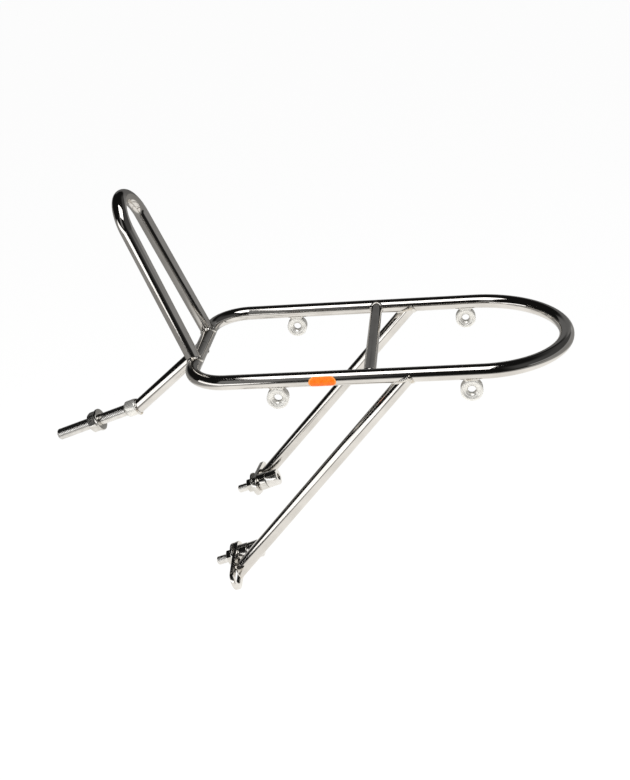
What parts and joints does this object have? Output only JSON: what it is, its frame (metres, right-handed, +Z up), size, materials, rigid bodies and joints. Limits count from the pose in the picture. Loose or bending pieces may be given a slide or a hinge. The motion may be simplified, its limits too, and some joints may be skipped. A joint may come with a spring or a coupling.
{
  "type": "rear rack",
  "caption": "Small tubular rear bicycle rack with a looped platform, leaning backstop hoop, threaded centre stay and two struts with slotted brake-boss tabs.",
  "frame": {"origin": "middle of the free thread of the centre stay's stud, where the frame's bridge holds the rack", "axes": "+X towards the rear of the bicycle along the platform, +Y to the bicycle's right, +Z up, platform level"},
  "size_m": [0.3646, 0.1586, 0.2617],
  "materials": {
    "polished_tube": "mirror-polished stainless steel",
    "welded_fittings": "polished stainless steel, slightly duller by the welds",
    "fasteners": "bright stainless steel fasteners",
    "badge_orange": "glossy orange vinyl sticker"
  },
  "bodies": {
    "rack": {"platform_hoop": "polished_tube", "crossbar": "polished_tube", "backstop_hoop": "polished_tube", "centre_stay": "polished_tube", "stay_boss": "welded_fittings", "bridge_stud": "fasteners", "left_strut": "polished_tube", "right_strut": "polished_tube", "left_tab": "welded_fittings", "right_tab": "welded_fittings", "front_left_eyelet": "welded_fittings", "front_right_eyelet": "welded_fittings", "rear_left_eyelet": "welded_fittings", "rear_right_eyelet": "welded_fittings", "badge": "badge_orange"},
    "bridge_washer": {"bridge_washer": "fasteners"},
    "bridge_nut": {"bridge_nut": "fasteners"},
    "left_bolt_set": {"left_bolt": "fasteners", "left_spacer": "fasteners"},
    "left_washer": {"left_washer": "fasteners"},
    "left_nut": {"left_nut": "fasteners"},
    "right_bolt_set": {"right_bolt": "fasteners", "right_spacer": "fasteners"},
    "right_washer": {"right_washer": "fasteners"},
    "right_nut": {"right_nut": "fasteners"}
  },
  "joints": [
    {"name": "bridge_nut_travel", "type": "slide", "parent": "rack", "child": "bridge_washer", "axis": [-0.9483, 0, -0.3173], "range_m": [-0.0207, 0.02251]},
    {"name": "bridge_nut_spin", "type": "hinge", "parent": "bridge_washer", "child": "bridge_nut", "pos_m": [0.01856, 0, 0.00621], "axis": [-0.9483, 0, -0.3173], "range_deg": [-5980, 6500]},
    {"name": "left_bolt_slot_slide", "type": "slide", "parent": "rack", "child": "left_bolt_set", "axis": [0.043, -0.9903, -0.1324], "range_m": [-0.0034, 0.004]},
    {"name": "left_nut_travel", "type": "slide", "parent": "left_bolt_set", "child": "left_washer", "axis": [-0.9511, 0, -0.309], "range_m": [0, 0.00701]},
    {"name": "left_nut_spin", "type": "hinge", "parent": "left_washer", "child": "left_nut", "pos_m": [0.11417, -0.0475, -0.08054], "axis": [-0.9511, 0, -0.309], "range_deg": [-5, 2545]},
    {"name": "right_bolt_slot_slide", "type": "slide", "parent": "rack", "child": "right_bolt_set", "axis": [0.043, 0.9903, -0.1324], "range_m": [-0.0034, 0.004]},
    {"name": "right_nut_travel", "type": "slide", "parent": "right_bolt_set", "child": "right_washer", "axis": [-0.9511, 0, -0.309], "range_m": [0, 0.00701]},
    {"name": "right_nut_spin", "type": "hinge", "parent": "right_washer", "child": "right_nut", "pos_m": [0.11417, 0.0475, -0.08054], "axis": [-0.9511, 0, -0.309], "range_deg": [-5, 2545]}
  ],
  "couplings": [
    {"joint": "bridge_nut_spin", "follows": "bridge_nut_travel", "rad_per_m": 5026.5},
    {"joint": "left_nut_spin", "follows": "left_nut_travel", "rad_per_m": 6283.2},
    {"joint": "right_nut_spin", "follows": "right_nut_travel", "rad_per_m": 6283.2}
  ]
}
